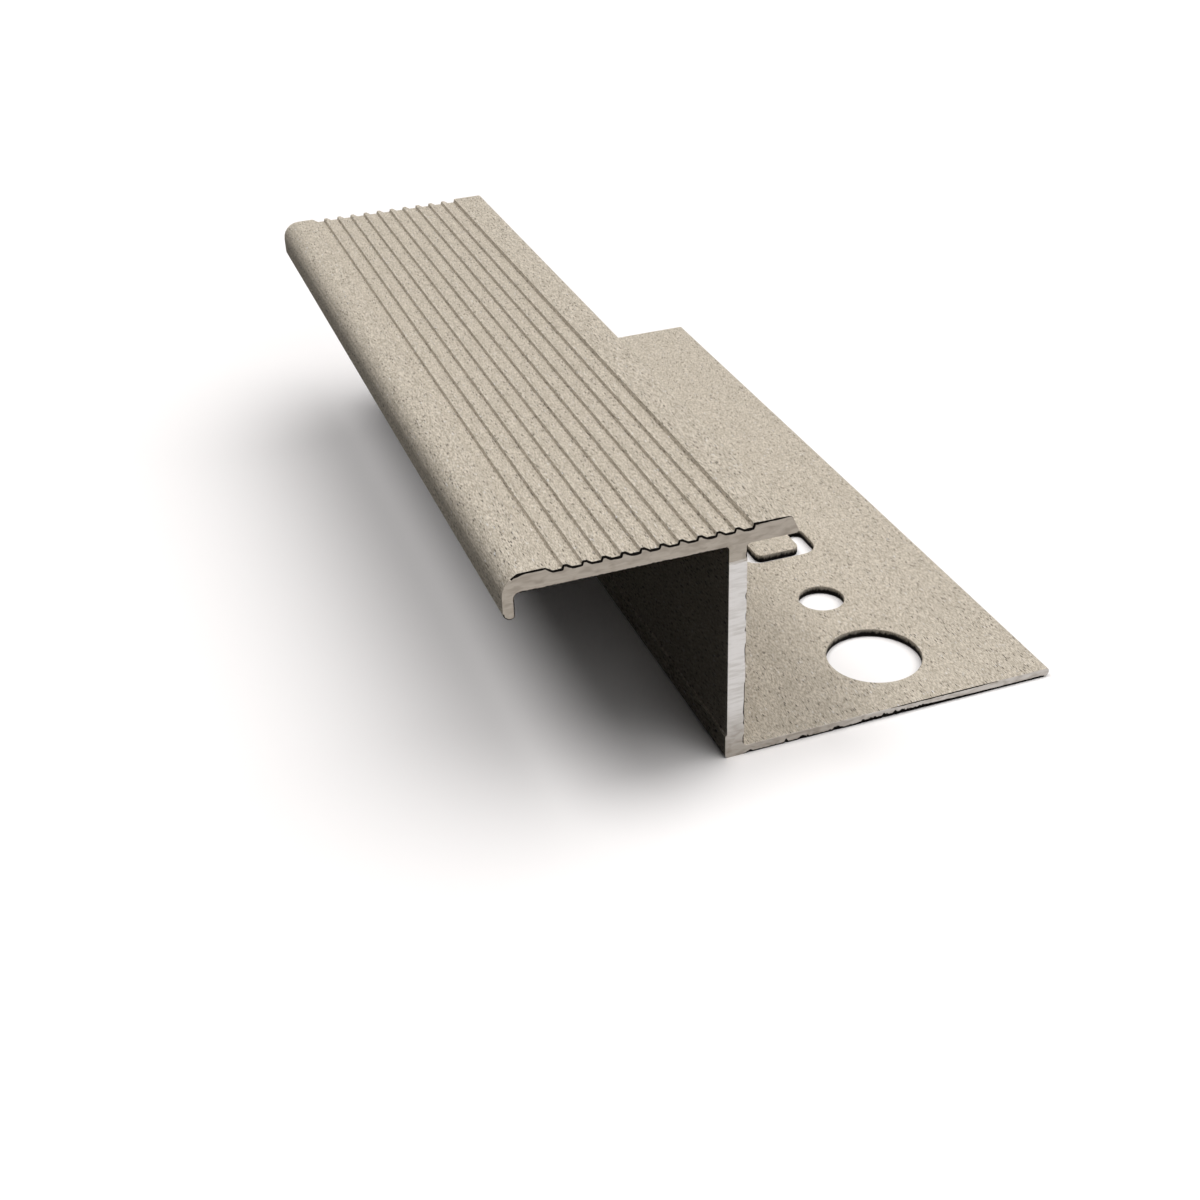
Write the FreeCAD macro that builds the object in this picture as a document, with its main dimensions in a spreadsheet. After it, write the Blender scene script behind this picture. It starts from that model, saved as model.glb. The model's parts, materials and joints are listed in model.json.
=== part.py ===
"""Stair nosing, a short sample cut from an extruded aluminium bar.

The section is a grooved tread with a rounded nose and a hanging lip, carried by an upright web
on a thin anchoring leg. The leg is punched in a repeating row: a large hole, a small hole and
a slot with a tongue left standing in it.

The section is drawn from the nose backwards (x) and from the leg's underside upwards (z). The
body is then moved so that the origin lies at the middle of the footprint, on the floor.
"""
import FreeCAD, Part
import os
import Sketcher

from FreeCAD import Vector

NODE = "nosing_profile"
ROW_KINDS = ("LargeHole", "SmallHole", "Slot")

DIMENSIONS = {
    "bar_length": 109.0,
    # the upright web, and the slightly thicker foot at its front
    "web_thickness": 2.0,
    "foot_step": 0.2,
    "foot_height": 3.0,
    # the anchoring leg, from the web's front face to its free edge
    "leg_width": 40.0,
    "leg_thickness": 1.1,
    "leg_low_radius": 0.6,
    "leg_high_radius": 0.35,
    # the tread
    "tread_underside": 26.2,
    "tread_thickness": 2.1,
    "nose_overhang": 23.6,
    "nose_radius": 2.3,
    "back_overhang": 4.8,
    "back_lean": 24.0,
    "back_low_radius": 0.3,
    "back_high_radius": 0.5,
    # the lip that hangs from the nose, its tip rounded more at the front than at the back
    "lip_drop": 4.9,
    "lip_thickness": 1.2,
    "lip_front_radius": 0.75,
    "lip_back_radius": 0.4,
    "lip_root_radius": 0.6,
    # small radii left by the die where walls meet
    "root_radius": 0.3,
    # the most of a wall, or of the slot's gap, that rounding one of its edges may take
    "leg_low_share": 0.6,
    "leg_high_share": 0.35,
    "tip_front_share": 0.65,
    "tip_back_share": 0.34,
    "gap_end_share": 0.48,
    # the grip grooves, from the nose side: a gentle flank, a flat floor and a steeper flank,
    # with the crests between them a little lower than the flat margins beside them
    "groove_margin": 4.5,
    "groove_count": 11,
    "groove_pitch": 2.0,
    "groove_depth": 0.4,
    "crest_drop": 0.1,
    "groove_floor": 1.0,
    "nose_side_flank": 0.5,
    "back_side_flank": 0.25,
    # the punched row in the leg: a large hole, a small one and a slot, evenly spaced
    "row_setback": 23.0,
    "row_start": 10.0,
    "row_step": 13.5,
    "large_diameter": 11.0,
    "small_diameter": 5.5,
    "slot_width": 10.0,
    "slot_height": 6.0,
    "slot_radius": 2.2,
    "slot_gap": 2.0,
    "slot_near_gap": 1.6,
    "tongue_radius": 1.0,
    "end_margin": 2.0,
    # how far a cutting sketch or a punch reaches past the metal
    "overcut": 1.0,
}

WEB_FRONT = "Sizes.nose_overhang"
WEB_BACK = "(Sizes.nose_overhang + Sizes.web_thickness)"
LEG_EDGE = "(Sizes.nose_overhang + Sizes.leg_width)"
TREAD_TOP = "(Sizes.tread_underside + Sizes.tread_thickness)"
TREAD_BACK = f"({WEB_BACK} + Sizes.back_overhang)"
TREAD_BACK_LOW = f"({TREAD_BACK} + Sizes.tread_thickness * tan(Sizes.back_lean * 1 deg))"
LIP_END = f"({TREAD_TOP} - Sizes.lip_drop)"
ROW = f"({WEB_FRONT} + Sizes.row_setback)"


def make_sheet(doc):
    """The driving dimensions, one row each: a name, and its value under an alias."""
    sheet = doc.addObject("Spreadsheet::Sheet", "Sizes")
    for row, (name, value) in enumerate(DIMENSIONS.items(), start=1):
        sheet.set(f"A{row}", name)
        sheet.set(f"B{row}", str(value))
        sheet.setAlias(f"B{row}", name)
    doc.recompute()


def origin_feature(body, role):
    return next(item for item in body.Origin.OriginFeatures if item.Role == role)


def new_sketch(body, name, role):
    sketch = body.newObject("Sketcher::SketchObject", name)
    sketch.AttachmentSupport = [(origin_feature(body, role), "")]
    sketch.MapMode = "FlatFace"
    return sketch


def value_of(sketch, expression):
    return float(sketch.evalExpression(expression))


def bind(sketch, constraints, expressions):
    """Adds the constraints in one go, and ties each named one to its expression."""
    sketch.addConstraint(constraints)
    for name, expression in expressions.items():
        sketch.setExpression(f"Constraints.{name}", expression)


def place_point(sketch, geometry, end, name, x, y, constraints, expressions):
    """Dimensions a point from the sketch's origin."""
    for kind, axis, text in (("DistanceX", "x", x), ("DistanceY", "y", y)):
        dimension = Sketcher.Constraint(kind, -1, 1, geometry, end, value_of(sketch, text))
        dimension.Name = f"{name}_{axis}"
        constraints.append(dimension)
        expressions[dimension.Name] = text


def corner_arc(before, corner, after, radius):
    """Where an arc of this radius leaves the two sides of a corner, and its middle point."""
    to_before = (before - corner).normalize()
    to_after = (after - corner).normalize()
    to_centre = (to_before + to_after).normalize()
    cosine = to_before.dot(to_centre)
    sine = (1 - cosine ** 2) ** 0.5
    reach = radius * cosine / sine
    middle = corner + to_centre * (radius / sine - radius)
    return corner + to_before * reach, middle, corner + to_after * reach


def add_outline(sketch, corners):
    """A closed outline through the corners, each (name, x, y, radius), the last three as
    expressions. A corner with a radius is an arc, tangent to its two sides. Its sharp corner
    stays as a construction point, and both sides are lined up with that point.
    """
    count = len(corners)
    sharp = [Vector(value_of(sketch, x), value_of(sketch, y), 0) for _, x, y, _ in corners]
    cuts = []
    for index, (_, _, _, radius) in enumerate(corners):
        before, here, after = sharp[index - 1], sharp[index], sharp[(index + 1) % count]
        if radius is None:
            cuts.append((here, None, here))
        else:
            cuts.append(corner_arc(before, here, after, value_of(sketch, radius)))
    sides = [
        sketch.addGeometry(Part.LineSegment(cuts[index][2], cuts[(index + 1) % count][0]))
        for index in range(count)
    ]
    constraints, expressions = [], {}
    for index, (name, x, y, radius) in enumerate(corners):
        arriving, leaving = sides[index - 1], sides[index]
        if radius is None:
            constraints.append(Sketcher.Constraint("Coincident", arriving, 2, leaving, 1))
            place_point(sketch, leaving, 1, name, x, y, constraints, expressions)
            continue
        arc = sketch.addGeometry(Part.Arc(*cuts[index]))
        point = sketch.addGeometry(Part.Point(sharp[index]), True)
        starts_first = sketch.getPoint(arc, 1).distanceToPoint(cuts[index][0])
        starts_last = sketch.getPoint(arc, 2).distanceToPoint(cuts[index][0])
        start, end = (1, 2) if starts_first < starts_last else (2, 1)
        rounding = Sketcher.Constraint("Radius", arc, value_of(sketch, radius))
        rounding.Name = f"{name}_radius"
        expressions[rounding.Name] = radius
        constraints += [
            Sketcher.Constraint("Tangent", arriving, 2, arc, start),
            Sketcher.Constraint("Tangent", arc, end, leaving, 1),
            Sketcher.Constraint("PointOnObject", point, 1, arriving),
            Sketcher.Constraint("PointOnObject", point, 1, leaving),
            rounding,
        ]
        place_point(sketch, point, 1, name, x, y, constraints, expressions)
    bind(sketch, constraints, expressions)


def add_circle(sketch, name, x, y, diameter):
    centre = Vector(value_of(sketch, x), value_of(sketch, y), 0)
    radius = value_of(sketch, diameter) / 2
    circle = sketch.addGeometry(Part.Circle(centre, Vector(0, 0, 1), radius))
    width = Sketcher.Constraint("Diameter", circle, 2 * radius)
    width.Name = f"{name}_diameter"
    constraints, expressions = [width], {width.Name: diameter}
    place_point(sketch, circle, 3, name, x, y, constraints, expressions)
    bind(sketch, constraints, expressions)


def limited(radius, share, wall):
    """A wall's edge radius, never more than its share of that wall."""
    return f"min(Sizes.{radius}; Sizes.{share} * Sizes.{wall})"


def extrude_section(body):
    """The bar: the whole section, drawn once and run along the bar's length."""
    sketch = new_sketch(body, "SectionOutline", "XZ_Plane")
    leg_low = limited("leg_low_radius", "leg_low_share", "leg_thickness")
    leg_high = limited("leg_high_radius", "leg_high_share", "leg_thickness")
    lip_front = limited("lip_front_radius", "tip_front_share", "lip_thickness")
    lip_back = limited("lip_back_radius", "tip_back_share", "lip_thickness")
    root = "Sizes.root_radius"
    foot_front = f"{WEB_FRONT} - Sizes.foot_step"
    add_outline(sketch, [
        ("foot_low", foot_front, "0", root),
        ("leg_edge_low", LEG_EDGE, "0", leg_low),
        ("leg_edge_high", LEG_EDGE, "Sizes.leg_thickness", leg_high),
        ("leg_root", WEB_BACK, "Sizes.leg_thickness", root),
        ("back_root", WEB_BACK, "Sizes.tread_underside", root),
        ("back_low", TREAD_BACK_LOW, "Sizes.tread_underside", "Sizes.back_low_radius"),
        ("back_high", TREAD_BACK, TREAD_TOP, "Sizes.back_high_radius"),
        ("nose", "0", TREAD_TOP, "Sizes.nose_radius"),
        ("lip_front", "0", LIP_END, lip_front),
        ("lip_back", "Sizes.lip_thickness", LIP_END, lip_back),
        ("lip_root", "Sizes.lip_thickness", "Sizes.tread_underside", "Sizes.lip_root_radius"),
        ("front_root", WEB_FRONT, "Sizes.tread_underside", root),
        ("foot_top", WEB_FRONT, "Sizes.foot_height", None),
        ("foot_high", foot_front, "Sizes.foot_height - Sizes.foot_step", None),
    ])
    bar = body.newObject("PartDesign::Pad", "Bar")
    bar.Profile = sketch
    bar.Reversed = True
    bar.setExpression("Length", "Sizes.bar_length")


def repeat(body, feature, name, axis, spacing, count):
    """A row of copies along one of the body's own axes."""
    pattern = body.newObject("PartDesign::LinearPattern", name)
    pattern.Originals = [feature]
    pattern.Direction = (origin_feature(body, axis), [""])
    pattern.setExpression("Occurrences", count)
    pattern.setExpression("Length", f"{spacing} * max(1; {count} - 1)")
    body.Tip = pattern


def cut_along_tread(body, name, corners):
    """Cuts a section out of the tread's top, all along the bar."""
    sketch = new_sketch(body, f"{name}Section", "XZ_Plane")
    add_outline(sketch, corners)
    cut = body.newObject("PartDesign::Pocket", name)
    cut.Profile = sketch
    cut.setExpression("Length", "Sizes.bar_length")
    return cut


def cut_grooves(body):
    """The grip grooves: first the level of their crests, then one groove, repeated."""
    start = "Sizes.groove_margin"
    floor_start = f"({start} + Sizes.nose_side_flank)"
    floor_end = f"({floor_start} + Sizes.groove_floor)"
    end = f"({floor_end} + Sizes.back_side_flank)"
    last_floor_end = f"({floor_end} + (Sizes.groove_count - 1) * Sizes.groove_pitch)"
    floor = f"{TREAD_TOP} - Sizes.groove_depth"
    crest = f"{TREAD_TOP} - Sizes.crest_drop"
    above = f"{TREAD_TOP} + Sizes.overcut"
    cut_along_tread(body, "CrestLevel", [
        ("above_first", floor_start, above, None),
        ("first", floor_start, crest, None),
        ("last", last_floor_end, crest, None),
        ("above_last", last_floor_end, above, None),
    ])
    groove = cut_along_tread(body, "Groove", [
        ("above_start", start, above, None),
        ("start", start, TREAD_TOP, None),
        ("floor_start", floor_start, floor, None),
        ("floor_end", floor_end, floor, None),
        ("end", end, TREAD_TOP, None),
        ("above_end", end, above, None),
    ])
    repeat(body, groove, "Grooves", "X_Axis", "Sizes.groove_pitch", "Sizes.groove_count")


def place_in_row(kind):
    """How far from the bar's near end the first punching of a kind lies."""
    return f"(Sizes.row_start + {ROW_KINDS.index(kind)} * Sizes.row_step)"


def punch(body, kind, sketch, half_height):
    """Cuts a sketch through the leg from below, and repeats it as often as whole ones fit."""
    cut = body.newObject("PartDesign::Pocket", kind)
    cut.Profile = sketch
    cut.Reversed = True
    cut.setExpression("Length", "Sizes.leg_thickness + Sizes.overcut")
    period = f"({len(ROW_KINDS)} * Sizes.row_step)"
    room = f"(Sizes.bar_length - {place_in_row(kind)} - {half_height} - Sizes.end_margin)"
    repeat(body, cut, f"{kind}Row", "Y_Axis", period, f"(floor({room} / {period}) + 1)")


def punch_round_hole(body, kind, diameter):
    sketch = new_sketch(body, f"{kind}Outline", "XY_Plane")
    add_circle(sketch, kind, ROW, place_in_row(kind), diameter)
    punch(body, kind, sketch, f"{diameter} / 2")


def punch_slot(body):
    """A rounded slot round a tongue, which stays joined to the leg on the slot's far side."""
    sketch = new_sketch(body, "SlotOutline", "XY_Plane")
    half_width, half_height = "Sizes.slot_width / 2", "Sizes.slot_height / 2"
    left, right = f"({ROW} - {half_width})", f"({ROW} + {half_width})"
    near = f"({place_in_row('Slot')} - {half_height})"
    far = f"({place_in_row('Slot')} + {half_height})"
    tongue_left, tongue_right = f"{left} + Sizes.slot_gap", f"{right} - Sizes.slot_gap"
    tongue_end = f"{near} + Sizes.slot_near_gap"
    corner, tongue_corner = "Sizes.slot_radius", "Sizes.tongue_radius"
    gap_end = "Sizes.gap_end_share * Sizes.slot_gap"
    add_outline(sketch, [
        ("near_left", left, near, corner),
        ("near_right", right, near, corner),
        ("far_right", right, far, gap_end),
        ("root_right", tongue_right, far, gap_end),
        ("tongue_right", tongue_right, tongue_end, tongue_corner),
        ("tongue_left", tongue_left, tongue_end, tongue_corner),
        ("root_left", tongue_left, far, gap_end),
        ("far_left", left, far, gap_end),
    ])
    punch(body, "Slot", sketch, half_height)


def check(doc, body):
    """Stops if anything failed, if a cut removed nothing, or if the bar isn't one solid."""
    for item in doc.Objects:
        if {"Invalid", "Error"} & set(item.State):
            raise RuntimeError(f"{item.Name} failed: {item.State}")
    features = [item for item in body.Group if item.isDerivedFrom("PartDesign::Feature")]
    for earlier, later in zip(features, features[1:]):
        if later.Shape.Volume >= earlier.Shape.Volume:
            raise RuntimeError(f"{later.Name} removed nothing")
    shape = body.Shape
    if shape.isNull() or not shape.isValid() or len(shape.Solids) != 1:
        raise RuntimeError("the bar isn't one valid solid")


def main():
    doc = FreeCAD.newDocument("StairNosing")
    make_sheet(doc)
    body = doc.addObject("PartDesign::Body", "NosingProfile")
    body.Label = NODE
    extrude_section(body)
    cut_grooves(body)
    punch_round_hole(body, "LargeHole", "Sizes.large_diameter")
    punch_round_hole(body, "SmallHole", "Sizes.small_diameter")
    punch_slot(body)
    body.setExpression("Placement.Base.x", f"-{LEG_EDGE} / 2")
    body.setExpression("Placement.Base.y", "-Sizes.bar_length / 2")
    doc.recompute()
    check(doc, body)
    os.makedirs("parts", exist_ok=True)
    body.Shape.exportStep(os.path.join("parts", f"{body.Label}.step"))
    box = body.Shape.BoundBox
    print(f"{body.Label}: {box.XLength:.2f} x {box.YLength:.2f} x {box.ZLength:.2f} mm, "
          f"{body.Shape.Volume / 1000:.2f} cm3")


main()
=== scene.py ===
"""The looks of a stair nosing: a coated aluminium bar with a grooved tread and a punched leg.

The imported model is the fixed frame. Geometry Nodes extrude the bar from its section and punch
its leg. Mesh code then tears the coat along the two sawn ends. Every finish is procedural.
"""
import json
import math

import bmesh
import bpy
from bpy.props import FloatProperty, FloatVectorProperty, IntProperty, PointerProperty
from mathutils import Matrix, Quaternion, Vector, noise


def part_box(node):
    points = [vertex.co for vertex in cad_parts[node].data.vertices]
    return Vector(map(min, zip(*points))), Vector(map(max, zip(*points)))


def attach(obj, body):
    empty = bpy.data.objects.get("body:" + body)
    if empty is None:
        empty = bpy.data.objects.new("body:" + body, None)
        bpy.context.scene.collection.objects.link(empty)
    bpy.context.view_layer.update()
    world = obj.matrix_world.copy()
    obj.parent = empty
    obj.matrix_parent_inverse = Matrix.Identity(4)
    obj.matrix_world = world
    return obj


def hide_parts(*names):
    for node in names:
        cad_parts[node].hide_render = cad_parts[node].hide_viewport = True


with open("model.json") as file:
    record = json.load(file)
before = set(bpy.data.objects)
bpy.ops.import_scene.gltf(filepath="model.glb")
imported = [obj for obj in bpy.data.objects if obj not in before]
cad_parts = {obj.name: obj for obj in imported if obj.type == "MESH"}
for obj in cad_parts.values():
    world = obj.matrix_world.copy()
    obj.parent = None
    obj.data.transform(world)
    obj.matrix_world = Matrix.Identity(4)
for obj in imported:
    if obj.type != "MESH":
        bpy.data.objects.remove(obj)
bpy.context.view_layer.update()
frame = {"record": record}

bl_info = {
    "name": "Stair Nosing",
    "version": (1, 0, 0),
    "blender": (4, 5, 0),
    "location": "3D View > Sidebar > Nosing",
    "description": "Builds a coated stair nosing round its packed model",
    "category": "Add Mesh",
}

NODE = "nosing_profile"
BODY = "root"

MM = 0.001
LOW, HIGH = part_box(NODE)
BAR_LENGTH = HIGH.y - LOW.y
TREAD_TOP = HIGH.z - LOW.z
MOUNTS = {mount["name"]: mount for mount in frame["record"]["mounts"]}
SCREW_HOLES = MOUNTS["screw_holes"]
LEG_THICKNESS = SCREW_HOLES["pos_m"][2]
ROW_X = SCREW_HOLES["pos_m"][0]
ROW_PERIOD = SCREW_HOLES["dims"]["spacing_y_mm"] * MM
SMALL_DIAMETER = 2 * SCREW_HOLES["dims"]["hole_r_mm"] * MM
TREAD_UNDERSIDE = MOUNTS["tread_underside"]["pos_m"][2]

# the sockets of a Mix node that mixes colours, which share their names with its other types
FACTOR, COLOUR_A, COLOUR_B, MIXED_COLOUR = 0, 6, 7, 2


def size(name, description, millimetres):
    """A length that a user would change, written in millimetres and kept in metres."""
    return FloatProperty(
        name=name, description=description, default=millimetres * MM,
        min=0.0, precision=5, unit="LENGTH", subtype="DISTANCE",
    )


def linear(hex_code):
    """An sRGB hex colour as the linear values that shaders work in."""
    channels = [int(hex_code[i:i + 2], 16) / 255 for i in (1, 3, 5)]
    return [c / 12.92 if c <= 0.04045 else ((c + 0.055) / 1.055) ** 2.4 for c in channels]


def colour(name, description, hex_code):
    return FloatVectorProperty(
        name=name, description=description, default=linear(hex_code),
        size=3, min=0.0, max=1.0, subtype="COLOR",
    )


class NosingSizes(bpy.types.PropertyGroup):
    web_thickness: size("Web", "Thickness of the upright web", 2.0)
    foot_step: size("Foot step", "How far the foot stands out from the web's front", 0.2)
    foot_height: size("Foot height", "Height of the thicker foot of the web", 3.0)
    leg_low_radius: size("Leg edge, low", "Rounding under the leg's free edge", 0.6)
    leg_high_radius: size("Leg edge, high", "Rounding on top of the leg's free edge", 0.35)
    nose_overhang: size("Overhang", "From the web's front to the nose", 23.6)
    nose_radius: size("Nose radius", "Rounding of the nose", 2.3)
    back_overhang: size("Back overhang", "How far the tread reaches past the web", 4.8)
    back_lean: FloatProperty(
        name="Back lean", description="Lean of the tread's back edge",
        default=math.radians(24), subtype="ANGLE",
    )
    back_low_radius: size("Back edge, low", "Rounding under the tread's back edge", 0.3)
    back_high_radius: size("Back edge, high", "Rounding on top of the tread's back edge", 0.5)
    lip_drop: size("Lip drop", "From the tread's top to the lip's tip", 4.9)
    lip_thickness: size("Lip", "Thickness of the hanging lip", 1.2)
    lip_front_radius: size("Lip front", "Rounding of the lip's tip, front side", 0.75)
    lip_back_radius: size("Lip back", "Rounding of the lip's tip, back side", 0.4)
    lip_root_radius: size("Lip root", "Rounding where the lip leaves the tread", 0.6)
    root_radius: size("Roots", "Rounding where walls meet", 0.3)
    groove_margin: size("Groove margin", "From the nose to the first groove", 4.5)
    groove_count: IntProperty(name="Grooves", description="Number of grip grooves", default=11)
    groove_pitch: size("Groove pitch", "From one groove to the next", 2.0)
    groove_depth: size("Groove depth", "Depth below the tread's flat margins", 0.48)
    crest_drop: size("Crest drop", "How much lower the crests lie than the margins", 0.1)
    groove_floor: size("Groove floor", "Width of a groove's flat floor", 0.89)
    nose_side_flank: size("Gentle flank", "Width of the flank on the nose side", 0.75)
    back_side_flank: size("Steep flank", "Width of the flank on the back side", 0.16)
    groove_rounding: size("Groove rounding", "Softness of the coated groove corners", 0.05)
    row_start: size("First hole", "From the near end to the first large hole", 10.0)
    large_diameter: size("Large holes", "Diameter of the large holes", 11.0)
    slot_width: size("Slot width", "Across the slot", 10.0)
    slot_height: size("Slot height", "Along the bar", 6.0)
    slot_radius: size("Slot corners", "Rounding of the slot's near corners", 2.2)
    slot_gap: size("Slot gap", "Width of the gap beside the tongue", 2.0)
    slot_near_gap: size("Slot near gap", "Width of the gap at the tongue's end", 1.6)
    slot_end_radius: size("Gap ends", "Rounding of the gap's two ends", 0.96)
    tongue_radius: size("Tongue corners", "Rounding of the tongue's corners", 1.0)
    end_margin: size("End margin", "Metal left between a punching and the sawn end", 2.0)
    rim_width: size("Rims", "Rounding that the coat gives the punched rims", 0.16)
    tear_step: size("Tear step", "Spacing of the points along a torn coat edge", 0.1)


class NosingFinish(bpy.types.PropertyGroup):
    coat: colour("Coat", "The coat's light sandy ground", "#d6ccbd")
    coat_shade: colour("Coat shade", "The darker grains of the ground", "#a99f90")
    coat_cool: colour("Cool streaks", "Olive-grey streaks in the coat", "#a69d8e")
    # painted shadow: dark flecks drawn out along the bar stand for the shadows that the coat's
    # grains cast; the torn edge also takes this colour for its crumbs
    grain_shadow_and_crumb: colour("Dark flecks", "Dark mineral flecks", "#4a443f")
    coat_speck: colour("Light specks", "Light mineral specks", "#e2e1e3")
    # painted reflection: the web's cut gets a brighter colour than the tread's
    tread_cut: colour("Tread cut", "Sawn metal of the tread", "#a0998f")
    web_cut: colour("Web cut", "Sawn metal of the web", "#c9c7c5")
    leg_cut: colour("Leg cut", "Sawn metal of the foot and leg", "#a9a39b")
    saw_mark: colour("Saw marks", "Dull lines that the saw left", "#7f776d")
    # partly torn coat and partly painted shade: the near black of the cuts' torn edges and of the
    # punched walls' dark foot
    torn_coat_and_shade: colour("Torn coat", "The coat's torn edge along the cut", "#161311")
    floor: colour("Floor", "The studio floor", "#fffcfb")


def rounded_outline(corners, turn_step=math.radians(15)):
    """The points of a closed outline: each corner (x, y, radius) becomes an arc tangent to
    both of its sides, or stays sharp where its radius is zero.
    """
    points = []
    for index, (x, y, radius) in enumerate(corners):
        corner = Vector((x, y))
        to_before = (Vector(corners[index - 1][:2]) - corner).normalized()
        to_after = (Vector(corners[(index + 1) % len(corners)][:2]) - corner).normalized()
        if radius == 0:
            points.append(corner)
            continue
        half = to_before.angle(to_after) / 2
        centre = corner + (to_before + to_after).normalized() * (radius / math.sin(half))
        start = corner + to_before * (radius / math.tan(half)) - centre
        turn = math.copysign(math.pi - 2 * half, to_after.cross(to_before))
        first = math.atan2(start.y, start.x)
        steps = max(2, math.ceil(abs(turn) / turn_step))
        for step in range(steps + 1):
            angle = first + turn * step / steps
            points.append(centre + Vector((math.cos(angle), math.sin(angle))) * radius)
    return points


def groove_corners(s):
    """The grooved part of the section's top, from the back to the nose."""
    floor, crest = TREAD_TOP - s.groove_depth, TREAD_TOP - s.crest_drop
    drop = s.crest_drop / s.groove_depth
    corners = []
    for groove in reversed(range(s.groove_count)):
        start = s.groove_margin + groove * s.groove_pitch
        floor_start = start + s.nose_side_flank
        floor_end = floor_start + s.groove_floor
        end = floor_end + s.back_side_flank
        last, first = groove == s.groove_count - 1, groove == 0
        corners += [
            (end, TREAD_TOP) if last else (end - drop * s.back_side_flank, crest),
            (floor_end, floor),
            (floor_start, floor),
            (start, TREAD_TOP) if first else (start + drop * s.nose_side_flank, crest),
        ]
    return [(x, z, s.groove_rounding) for x, z in corners]


def section_corners(s):
    """The bar's section, anticlockwise seen from the near end: x from the nose, z from the
    floor, and the rounding of each corner.
    """
    leg_end = HIGH.x - LOW.x
    web_front, web_back = s.nose_overhang, s.nose_overhang + s.web_thickness
    foot_front = web_front - s.foot_step
    tread_back = web_back + s.back_overhang
    back_low = tread_back + (TREAD_TOP - TREAD_UNDERSIDE) * math.tan(s.back_lean)
    lip_end = TREAD_TOP - s.lip_drop
    root = s.root_radius
    return [
        (foot_front, 0, root),
        (leg_end, 0, s.leg_low_radius),
        (leg_end, LEG_THICKNESS, s.leg_high_radius),
        (web_back, LEG_THICKNESS, root),
        (web_back, TREAD_UNDERSIDE, root),
        (back_low, TREAD_UNDERSIDE, s.back_low_radius),
        (tread_back, TREAD_TOP, s.back_high_radius),
        *groove_corners(s),
        (0, TREAD_TOP, s.nose_radius),
        (0, lip_end, s.lip_front_radius),
        (s.lip_thickness, lip_end, s.lip_back_radius),
        (s.lip_thickness, TREAD_UNDERSIDE, s.lip_root_radius),
        (web_front, TREAD_UNDERSIDE, root),
        (web_front, s.foot_height, 0),
        (foot_front, s.foot_height - s.foot_step, 0),
    ]


def slot_corners(s):
    """The punched slot round its tongue, which stays joined to the leg on the far side."""
    left, near = -s.slot_width / 2, -s.slot_height / 2
    tongue_left, tongue_end = left + s.slot_gap, near + s.slot_near_gap
    side = [
        (left, near, s.slot_radius),
        (left, -near, s.slot_end_radius),
        (tongue_left, -near, s.slot_end_radius),
        (tongue_left, tongue_end, s.tongue_radius),
    ]
    return side + [(-x, y, radius) for x, y, radius in reversed(side)]


def new_object(name, data):
    piece = bpy.data.objects.new(name, data)
    bpy.context.scene.collection.objects.link(piece)
    return piece


def flat_face(name, points):
    """An object that holds one flat face, from which the node tree extrudes a solid."""
    mesh = bpy.data.meshes.new(name)
    mesh.from_pydata(points, [], [list(range(len(points)))])
    return new_object(name, mesh)


def add_node(tree, kind, inputs=None, **settings):
    """Adds a node with its settings. An input that is given a socket is linked to it, one that
    is given a list of sockets is linked to each, and any other is set to the value.
    """
    node = tree.nodes.new(kind)
    for name, value in settings.items():
        setattr(node, name, value)
    for key, value in (inputs or {}).items():
        sockets = value if isinstance(value, list) else [value]
        if isinstance(sockets[0], bpy.types.NodeSocket):
            for socket in sockets:
                tree.links.new(socket, node.inputs[key])
        else:
            node.inputs[key].default_value = value
    return node


WELD_DISTANCE = 0.001 * MM


def extruded_solid(tree, face, offset):
    """Nodes that extrude a flat face along its own side into a closed solid."""
    extruded = add_node(
        tree, "GeometryNodeExtrudeMesh",
        {"Mesh": face, "Offset": offset, "Offset Scale": 1.0, "Individual": False},
    )
    start = add_node(tree, "GeometryNodeFlipFaces", {"Mesh": face})
    joined = add_node(
        tree, "GeometryNodeJoinGeometry", {"Geometry": [extruded.outputs[0], start.outputs[0]]}
    )
    closed = add_node(
        tree, "GeometryNodeMergeByDistance",
        {"Geometry": joined.outputs[0], "Distance": WELD_DISTANCE},
    )
    return closed.outputs[0]


def punch_row(tree, punch, given, kind, height):
    """Nodes that repeat one kind of punch along the bar."""
    start = add_node(
        tree, "ShaderNodeCombineXYZ",
        {"X": given["Row Place"], "Y": given[f"{kind} Start"], "Z": height},
    )
    offset = add_node(tree, "ShaderNodeCombineXYZ", {"Y": given["Row Period"]})
    line = add_node(
        tree, "GeometryNodeMeshLine",
        {"Count": given[f"{kind} Count"], "Start Location": start.outputs[0],
         "Offset": offset.outputs[0]},
    )
    row = add_node(
        tree, "GeometryNodeInstanceOnPoints", {"Points": line.outputs[0], "Instance": punch}
    )
    return row.outputs[0]


PUNCHED_BAR_INPUTS = (
    ("Section", "NodeSocketGeometry"),
    ("Slot Outline", "NodeSocketObject"),
    ("Length", "NodeSocketFloat"),
    ("Leg Thickness", "NodeSocketFloat"),
    ("Row Place", "NodeSocketFloat"),
    ("Row Period", "NodeSocketFloat"),
    ("Large Diameter", "NodeSocketFloat"),
    ("Large Start", "NodeSocketFloat"),
    ("Large Count", "NodeSocketInt"),
    ("Small Diameter", "NodeSocketFloat"),
    ("Small Start", "NodeSocketFloat"),
    ("Small Count", "NodeSocketInt"),
    ("Slot Start", "NodeSocketFloat"),
    ("Slot Count", "NodeSocketInt"),
    ("Coat", "NodeSocketMaterial"),
    ("Punched Wall", "NodeSocketMaterial"),
    ("Sawn Metal", "NodeSocketMaterial"),
)
HOLE_SIDES = 96
# in leg thicknesses: how high a punch is, and how far from the floor it starts
PUNCH_HEIGHT, PUNCH_START = 3.0, -1.0
RIM_SEGMENTS = 3
# how near to the bar's end, as a share of half its length, a face belongs to the saw cut
CUT_SHARE = 0.999


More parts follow.
